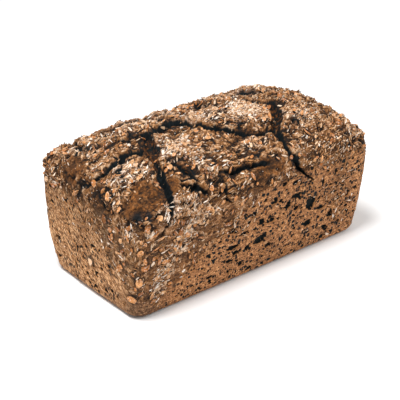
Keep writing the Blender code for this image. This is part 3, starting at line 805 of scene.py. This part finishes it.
class Shading:
    """A material's nodes, added one by one to a Principled shader."""

    def __init__(self, name):
        self.material = bpy.data.materials.new(name)
        self.material.use_nodes = True
        self.nodes = self.material.node_tree.nodes
        self.links = self.material.node_tree.links
        self.shader = self.nodes["Principled BSDF"]
        self.place = self.add("TexCoord", {}).outputs["Object"]

    def set(self, socket, value):
        """Gives a socket a plain value, or links it to another node's output."""
        if isinstance(value, bpy.types.NodeSocket):
            self.links.new(value, socket)
        else:
            socket.default_value = value

    def add(self, kind, inputs, **settings):
        node = self.nodes.new("ShaderNode" + kind)
        for name, value in settings.items():
            setattr(node, name, value)
        for key, value in inputs.items():
            self.set(node.inputs[key], value)
        return node

    def share(self, name):
        return self.add("Attribute", {}, attribute_name=name).outputs["Fac"]

    def height(self):
        return self.add("SeparateXYZ", {"Vector": self.place}).outputs["Z"]

    def stretched(self, stretch, turn=0):
        """Places on the loaf turned about X and then drawn out, so that a pattern there is stretched."""
        inputs = {"Scale": stretch, "Rotation": (turn, 0, 0), "Vector": self.place}
        return self.add("Mapping", inputs, vector_type="TEXTURE").outputs["Vector"]

    def noise(self, size, detail=3, roughness=0.6, stretch=(1, 1, 1), turn=0, output="Fac"):
        """Cloudy noise with lumps of the given size in metres."""
        place = self.stretched(stretch, turn)
        inputs = {"Scale": 1 / size, "Detail": detail, "Roughness": roughness, "Vector": place}
        return self.add("TexNoise", inputs).outputs[output]

    def holes(self, size, largest, wobble, stretch=(1, 1, 1)):
        """Ragged spots, 1 inside, at most one in each cell of a size and some as small as a dot."""
        wander = self.noise(size, 2, output="Color")
        inputs = {0: wander, 1: (wobble, wobble, wobble), 2: self.stretched(stretch)}
        place = self.add("VectorMath", inputs, operation="MULTIPLY_ADD").outputs["Vector"]
        cells = self.add("TexVoronoi", {"Scale": 1 / size, "Vector": place})
        draw = self.add("SeparateColor", {"Color": cells.outputs["Color"]}).outputs["Red"]
        reach = self.product(self.math("POWER", draw, SMALL_HOLE_BIAS), largest)
        return self.ramp(self.math("SUBTRACT", reach, cells.outputs["Distance"]), *HOLE_EDGE)

    def ramp(self, value, low, high, start=0.0, end=1.0):
        """A value stretched so that low becomes start and high becomes end."""
        inputs = {"From Min": low, "From Max": high, "To Min": start, "To Max": end, "Value": value}
        return self.add("MapRange", inputs, interpolation_type="SMOOTHSTEP").outputs["Result"]

    def math(self, operation, *values):
        return self.add("Math", dict(enumerate(values)), operation=operation).outputs["Value"]

    def product(self, *values):
        total = values[0]
        for value in values[1:]:
            total = self.math("MULTIPLY", total, value)
        return total

    def weighted(self, parts, weights):
        """The sum of an offset and of the named parts, each times its weight."""
        total = weights["offset"]
        for name, weight in weights.items():
            if name != "offset":
                total = self.math("MULTIPLY_ADD", parts[name], weight, total)
        return total

    def mix(self, factor, first, second):
        node = self.add("Mix", {"Factor": factor}, data_type="RGBA")
        sockets = [socket for socket in node.inputs if socket.type == "RGBA"]
        for socket, colour in zip(sockets, (first, second)):
            self.set(socket, colour)
        return [socket for socket in node.outputs if socket.type == "RGBA"][0]

    def bands(self, value, stops):
        """A colour that runs through stops, each a place from 0 to 1 and a colour."""
        node = self.add("ValToRGB", {"Fac": value})
        elements = node.color_ramp.elements
        while len(elements) < len(stops):
            elements.new(1)
        for element, (place, colour) in zip(elements, stops):
            element.position = place
            element.color = srgb(*colour)
        return node.outputs["Color"]

    def bump(self, *layers):
        """Fine relief from pairs of a value and its height in metres."""
        below = {}
        for value, height in layers:
            node = self.add("Bump", {"Strength": 1, "Distance": height, "Height": value} | below)
            below = {"Normal": node.outputs["Normal"]}
        self.set(self.shader.inputs["Normal"], below["Normal"])

    def finish(self, colour, roughness):
        self.set(self.shader.inputs["Base Color"], colour)
        self.set(self.shader.inputs["Roughness"], roughness)
        self.set(self.shader.inputs["Specular IOR Level"], SPECULAR)
        return self.material


SPECULAR = 0.2
WALL_TONES = ((0.39, (66, 43, 28)), (0.45, (134, 89, 56)), (0.54, (170, 116, 73)), (0.61, (230, 172, 118)))
END_TONES = ((0.39, (54, 36, 22)), (0.45, (142, 96, 60)), (0.54, (190, 138, 92)), (0.61, (250, 204, 154)))
BARE_TONES = ((0.34, (24, 19, 13)), (0.45, (70, 42, 19)), (0.55, (104, 63, 28)), (0.68, (152, 96, 48)))
FOOT_TONES = ((0.4, (40, 28, 20)), (0.47, (82, 56, 38)), (0.54, (110, 78, 54)), (0.61, (164, 126, 92)))
# Crag tones, darkest as near-black painted shade where the crags are low
CRAG_TONES = (
    (0.24, (9, 17, 18)), (0.36, (38, 25, 16)), (0.5, (94, 59, 31)), (0.66, (152, 105, 62)),
    (0.8, (216, 184, 152)),
)
CRUMB_TONES = ((0.45, (8, 18, 20)), (0.52, (48, 29, 15)), (0.6, (112, 66, 30)), (0.71, (168, 106, 54)))
FLAKE_TONES = (
    (0.0, (104, 62, 30)), (0.25, (160, 98, 50)), (0.5, (206, 138, 80)), (0.75, (222, 170, 120)),
    (1.0, (232, 206, 180)),
)
BRAN_TONES = (
    (0.0, (34, 24, 18)), (0.25, (100, 64, 37)), (0.5, (176, 125, 79)), (0.75, (220, 185, 150)),
    (1.0, (246, 234, 220)),
)
FLOUR_TONES = ((0.0, (110, 74, 46)), (0.5, (190, 152, 116)), (1.0, (244, 232, 218)))
# Near-black painted shade inside the pores
PORE_SHADE_COLOUR = srgb(15, 21, 21)
# Painted highlight on the pores' lips
PORE_LIP_HIGHLIGHT_COLOUR = srgb(196, 134, 80)
# Near-black painted shade in the tears, fissures, gaps between scales and on the ground beside flakes
RECESS_SHADE_COLOUR = srgb(7, 16, 19)
SCORCH_COLOUR = srgb(24, 26, 28)
FLOUR_COLOUR = srgb(236, 218, 206)
SHADE_COLOUR = srgb(86, 54, 30)

# Noise in the crust's colours, and patterns as an offset and the weight of each part in them
CRUST_NOISE = {
    "mottled": {"size": 3 * MM, "detail": 4, "roughness": 0.7},
    "fine": {"size": 1.2 * MM, "detail": 3, "roughness": 0.8, "stretch": (1.5, 1, 1)},
    "streaks": {
        "size": 1.3 * MM, "detail": 4, "roughness": 0.8, "stretch": (1, 1, 2.4), "turn": np.radians(-50)
    },
    "clouds": {"size": 22 * MM, "detail": 4},
}
GRAINY = {"offset": 0, "mottled": 0.3, "fine": 0.7}
# In BARE and CRAGGY the weight of high makes the low places darker, as painted shade
BARE = {"offset": -0.09, "grainy": 1, "high": 0.16}
CRAGGY = {"offset": -0.07, "high": 0.4, "fine": 0.75, "thick": 0.08}
RAGGED_PORE = {"offset": -0.4, "pore": 1, "fine": 0.8}
# Fades in the crust's colours: from a value to a value, and the shares there where not 0 and 1
CLOUD_FADE = (0.5, 0.7, 0, 0.45)
BROWNER_FADE = (25 * MM, 80 * MM, 0, 0.42)
STREWN_FADE = (0, 1, 0.6, 0.95)
FLOUR_FADE = (0.46, 0.6, 0, 0.85)
GAP_SHADE_FADE = (0.2, 0.8, 0, 0.9)
POROUS_FADE = (0.05, 0.6)
PORE_LIP_HIGHLIGHT_FADE = (0, 0.1, 0, 0.5)
FISSURE_SHADE_FADE = (0.1, 0.7)
TEAR_SHADE_FADE = (0.02, 0.4)
RAGGED_PORE_FADE = (0.2, 0.45)
ROUGHNESS_FADE = (0.2, 0.8)
CRUST_ROUGHNESS = (0.75, 0.98)
FOOT_SHARE = 0.9
SHADE_SHARE = 0.75
# Small pores, painted as near-black shade: cell size, largest reach as a share of it, how ragged, and
# stretch
DOTS = (2.2 * MM, 0.66, 0.9 * MM)
SLITS = (3.8 * MM, 0.5, 1.8 * MM)
UPRIGHT_DOTS = (1.9 * MM, 0.6, 0.8 * MM, (1, 1, 1.6))
UPRIGHT_SHARE = 0.85
SMALL_HOLE_BIAS = 1.6
HOLE_EDGE = (0, 0.1)
MOTTLED_BUMP = 0.5 * MM
FINE_BUMP = 0.6 * MM
HOLE_BUMP = -0.7 * MM


def wall_colour(shading, part):
    """Brown baked crumb, streaked on the end walls, and darker bare crust above the rim."""
    wall = shading.bands(part["grainy"], WALL_TONES)
    colour = shading.mix(part["end"], wall, shading.bands(part["streaks"], END_TONES))
    colour = shading.mix(shading.ramp(part["clouds"], *CLOUD_FADE), colour, SHADE_COLOUR)
    colour = shading.mix(part["crust"], colour, shading.bands(shading.weighted(part, BARE), BARE_TONES))
    browner = shading.product(shading.ramp(shading.height(), *BROWNER_FADE), part["end"])
    colour = shading.mix(browner, colour, SHADE_COLOUR)
    foot = shading.bands(part["grainy"], FOOT_TONES)
    return shading.mix(shading.product(part["foot"], FOOT_SHARE), colour, foot)


def strewn_colour(shading, part, colour):
    """The floury crags that pieces lie on, with painted shade in low places, in gaps and beside flakes."""
    craggy = shading.bands(shading.weighted(part, CRAGGY), CRAG_TONES)
    rough = shading.ramp(shading.math("MAXIMUM", part["crust"], part["thick"]), *STREWN_FADE)
    colour = shading.mix(shading.product(part["strewn"], rough), colour, craggy)
    dusty = shading.ramp(part["fine"], *FLOUR_FADE)
    flour = shading.product(part["strewn"], part["thick"], part["high"], dusty)
    colour = shading.mix(flour, colour, FLOUR_COLOUR)
    # Painted shade in the gaps between the scales
    colour = shading.mix(shading.ramp(part["gap"], *GAP_SHADE_FADE), colour, RECESS_SHADE_COLOUR)
    # Painted shade on the ground beside the flakes
    return shading.mix(shading.product(part["shade"], SHADE_SHARE), colour, RECESS_SHADE_COLOUR)


def small_pores(shading, part, porous):
    """Dots and slits on the long walls and upright dots on the end walls, 1 inside."""
    long_wall = shading.math("MAXIMUM", shading.holes(*DOTS), shading.holes(*SLITS))
    end_wall = shading.product(shading.holes(*UPRIGHT_DOTS), UPRIGHT_SHARE)
    return shading.product(shading.mix(part["end"], long_wall, end_wall), porous)


def crust_material():
    """Colours of walls and crust: near-black painted shade in tears, gaps and pores, painted highlight on
    pore lips.
    """
    shading = Shading("crust")
    part = {name: shading.share(name) for name in (
        "tear", "crumbly", "fissure", "gap", "strewn", "thick", "high", "pore", "porous", "crust", "end",
        "scorch", "foot", "shade",
    )}
    part.update((name, shading.noise(**pattern)) for name, pattern in CRUST_NOISE.items())
    part["grainy"] = shading.weighted(part, GRAINY)
    colour = strewn_colour(shading, part, wall_colour(shading, part))
    porous = shading.ramp(part["porous"], *POROUS_FADE)
    # Painted highlight on the pores' lips
    rim = shading.product(shading.ramp(part["pore"], *PORE_LIP_HIGHLIGHT_FADE), porous)
    colour = shading.mix(rim, colour, PORE_LIP_HIGHLIGHT_COLOUR)
    holes = small_pores(shading, part, porous)
    # Painted shade inside the small pores
    colour = shading.mix(holes, colour, PORE_SHADE_COLOUR)
    # Painted shade in the fissures
    colour = shading.mix(shading.ramp(part["fissure"], *FISSURE_SHADE_FADE), colour, RECESS_SHADE_COLOUR)
    # Painted shade in the tears, darkest where they are deepest, with brown crumbs where they crumble
    inside = shading.mix(part["crumbly"], RECESS_SHADE_COLOUR, shading.bands(part["mottled"], CRUMB_TONES))
    colour = shading.mix(shading.ramp(part["tear"], *TEAR_SHADE_FADE), colour, inside)
    # Painted shade in the pores' ragged insides
    ragged_pore = shading.ramp(shading.weighted(part, RAGGED_PORE), *RAGGED_PORE_FADE)
    colour = shading.mix(ragged_pore, colour, PORE_SHADE_COLOUR)
    colour = shading.mix(part["scorch"], colour, SCORCH_COLOUR)
    shading.bump((part["mottled"], MOTTLED_BUMP), (part["fine"], FINE_BUMP), (holes, HOLE_BUMP))
    return shading.finish(colour, shading.ramp(part["mottled"], *ROUGHNESS_FADE, *CRUST_ROUGHNESS))


# How the pieces of a kind look: their tones, the size, detail and roughness of the noise in them,
# the colour of its streaks and their fade, the share of flour dust, the relief and the roughness
Look = namedtuple("Look", "tones grain streaks fade dust relief roughness")
FLAKE_LOOK = Look(
    FLAKE_TONES, (1.2 * MM, 3, 0.7), srgb(112, 70, 38), (0.5, 0.66, 0, 0.75), 0.7, 0.4 * MM, (0.7, 0.95)
)
BRAN_LOOK = Look(
    BRAN_TONES, (0.8 * MM, 2, 0.6), srgb(92, 60, 36), (0.52, 0.68, 0, 0.6), 0, 0.3 * MM, (0.75, 0.95)
)
FLOUR_LOOK = Look(
    FLOUR_TONES, (0.5 * MM, 2, 0.6), srgb(140, 100, 66), (0.5, 0.75, 0, 0.3), 0, 0.2 * MM, (0.85, 1)
)
DUST_GRAIN = (0.9 * MM, 2)
DUST_FADE = (0.56, 0.68, 0)


def piece_material(name, look):
    shading = Shading(name)
    grain = shading.noise(*look.grain)
    tone = shading.bands(shading.share("tone"), look.tones)
    colour = shading.mix(shading.ramp(grain, *look.fade), tone, look.streaks)
    if look.dust:
        dust = shading.ramp(shading.noise(*DUST_GRAIN), *DUST_FADE, look.dust)
        colour = shading.mix(dust, colour, FLOUR_COLOUR)
    shading.bump((grain, look.relief))
    return shading.finish(colour, shading.ramp(grain, *ROUGHNESS_FADE, *look.roughness))


FLOOR_CLOUD = 80 * MM
FLOOR_COLOURS = (srgb(252, 252, 252), srgb(254, 254, 254))
FLOOR_ROUGHNESS = (0.88, 0.92)


def floor_material():
    shading = Shading("floor")
    cloudy = shading.noise(FLOOR_CLOUD, detail=2)
    colour = shading.mix(cloudy, *FLOOR_COLOURS)
    return shading.finish(colour, shading.ramp(cloudy, 0, 1, *FLOOR_ROUGHNESS))


def add_piece(name, mesh, material, smooth=True):
    piece = bpy.data.objects.new(name, mesh)
    bpy.context.scene.collection.objects.link(piece)
    mesh.materials.append(material)
    mesh.polygons.foreach_set("use_smooth", [smooth] * len(mesh.polygons))
    return piece


def add_topping(name, mesh, material, smooth):
    """A kind of piece that lies on the crust and stands in for those fused to the solid."""
    piece = add_piece(name, mesh, material, smooth)
    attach(piece, "root")
    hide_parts("loaf")


def drawn_lengths(draws, lengths, count):
    """Lengths of which more are short than long."""
    shortest, longest = lengths
    return shortest + (longest - shortest) * draws.uniform(size=count) ** SHORT_LENGTH_BIAS


def half_sizes(draws, lengths, width_share, half_thickness):
    widths = lengths * draws.uniform(*width_share, size=len(lengths))
    return np.stack([lengths / 2, widths / 2, draws.uniform(*half_thickness, size=len(lengths))], axis=1)


def add_flakes(strewing):
    """Rolled rye flakes: the large ones of the solid, then smaller ones between them."""
    draws = np.random.default_rng(SEED)
    picked, places, normals = strewing.ground.under(large_flake_spots(draws))
    lengths = np.sort(draws.uniform(*FLAKE_LENGTHS, size=len(places)))[::-1]
    draws = np.random.default_rng(SMALL_FLAKE_SEED)
    cover = strewing.cover + WALL_FLAKES * strewing.on_wall
    small = strewing.ground.draw(draws, cover, SMALL_FLAKE_COUNT)
    lengths = np.concatenate([lengths, drawn_lengths(draws, SMALL_FLAKE_LENGTHS, SMALL_FLAKE_COUNT)])
    picked = np.concatenate([picked, small[0]])
    places = np.vstack([places, small[1]])
    normals = np.vstack([normals, small[2]])
    sizes = half_sizes(draws, lengths, FLAKE_WIDTH_SHARE, FLAKE_HALF_THICKNESS)
    mesh = strewn_mesh("rye flakes", FLAKE_HABIT, places, normals, sizes, strewing.thick[picked], draws)
    add_topping("rye_flakes", mesh, piece_material("flakes", FLAKE_LOOK), True)
    strewing.shade_around(places, lengths)


def add_bran(strewing):
    """Chips of bran and thin husks, lying at all angles."""
    material = piece_material("bran", BRAN_LOOK)
    cover = strewing.cover + BRAN_STRAY * strewing.stray
    for name, seed, habit, count, lengths, width_share in (
        ("bran_chips", BRAN_SEED, BRAN_HABIT, BRAN_COUNT, BRAN_LENGTHS, BRAN_WIDTH_SHARE),
        ("bran_husks", HUSK_SEED, HUSK_HABIT, HUSK_COUNT, HUSK_LENGTHS, HUSK_WIDTH_SHARE),
    ):
        draws = np.random.default_rng(seed)
        picked, places, normals = strewing.ground.draw(draws, cover, count)
        sizes = half_sizes(draws, drawn_lengths(draws, lengths, count), width_share, BRAN_HALF_THICKNESS)
        mesh = strewn_mesh(name, habit, places, normals, sizes, strewing.thick[picked], draws)
        add_topping(name, mesh, material, False)


def add_crumbs(strewing):
    """Crumbs and clots of flour between the flakes."""
    draws = np.random.default_rng(CRUMB_SEED)
    cover = strewing.cover + CRUMB_STRAY * strewing.stray
    picked, places, normals = strewing.ground.draw(draws, cover, CRUMB_COUNT)
    radii = draws.uniform(*CRUMB_RADII, size=CRUMB_COUNT)
    widths = radii * draws.uniform(*CRUMB_WIDTH_SHARE, size=CRUMB_COUNT)
    sizes = np.stack([radii, widths, radii * CRUMB_HEIGHT_SHARE], axis=1)
    mesh = strewn_mesh("flour crumbs", CRUMB_HABIT, places, normals, sizes, strewing.thick[picked], draws)
    add_topping("flour_crumbs", mesh, piece_material("flour", FLOUR_LOOK), False)


def dress_loaf():
    mesh = shaped_crust()
    add_topping("loaf_crust", mesh, crust_material(), True)
    strewing = Strewing(mesh)
    add_flakes(strewing)
    add_bran(strewing)
    add_crumbs(strewing)


# The camera stands where the photograph was taken from
CAMERA_AZIMUTH = -39.41
CAMERA_ELEVATION = 27.27
CAMERA_DISTANCE = 0.899
CAMERA_LENS = 106.98
CAMERA_SENSOR = 36
CAMERA_SHIFT = -0.0222
AIM = Vector((0, 0, 0.5 * RIM_HEIGHT))
FLOOR_SIZE = 3
WORLD_STRENGTH = 0.5


def direction(azimuth, elevation):
    """From the loaf towards a place at an azimuth, 0 in front of the long wall, and an elevation."""
    flat = np.cos(elevation)
    return Vector((np.sin(azimuth) * flat, -np.cos(azimuth) * flat, np.sin(elevation)))


def add_facing(data, azimuth, elevation, distance):
    """Puts a camera or a light at a place round the loaf, turned towards the loaf."""
    item = bpy.data.objects.new(data.name, data)
    towards = direction(np.radians(azimuth), np.radians(elevation))
    item.location = AIM + towards * distance
    item.rotation_euler = towards.to_track_quat("Z", "Y").to_euler()
    bpy.context.scene.collection.objects.link(item)
    return item


def add_camera():
    data = bpy.data.cameras.new("camera")
    data.lens = CAMERA_LENS
    data.sensor_width = CAMERA_SENSOR
    data.shift_x = CAMERA_SHIFT
    bpy.context.scene.camera = add_facing(data, CAMERA_AZIMUTH, CAMERA_ELEVATION, CAMERA_DISTANCE)


def add_softbox(name, azimuth, elevation, distance, size, power):
    data = bpy.data.lights.new(name, "AREA")
    data.shape = "DISK"
    data.size = size
    data.energy = power
    add_facing(data, azimuth, elevation, distance)


def add_studio():
    """A pale floor, a pale world and soft lights from above."""
    floor_mesh = bpy.data.meshes.new("floor")
    sheet = bmesh.new()
    bmesh.ops.create_grid(sheet, x_segments=1, y_segments=1, size=FLOOR_SIZE)
    sheet.to_mesh(floor_mesh)
    sheet.free()
    floor = add_piece("floor", floor_mesh, floor_material(), smooth=False)
    world = bpy.data.worlds.new("studio")
    world.use_nodes = True
    background = world.node_tree.nodes["Background"]
    background.inputs["Color"].default_value = (1, 1, 1, 1)
    background.inputs["Strength"].default_value = WORLD_STRENGTH
    bpy.context.scene.world = world
    add_softbox("key", azimuth=-78, elevation=71, distance=1.1, size=0.5, power=14)
    add_softbox("fill", azimuth=40, elevation=38, distance=1.3, size=0.6, power=5)
    bpy.context.scene.view_settings.view_transform = "Standard"


dress_loaf()
add_camera()
add_studio()
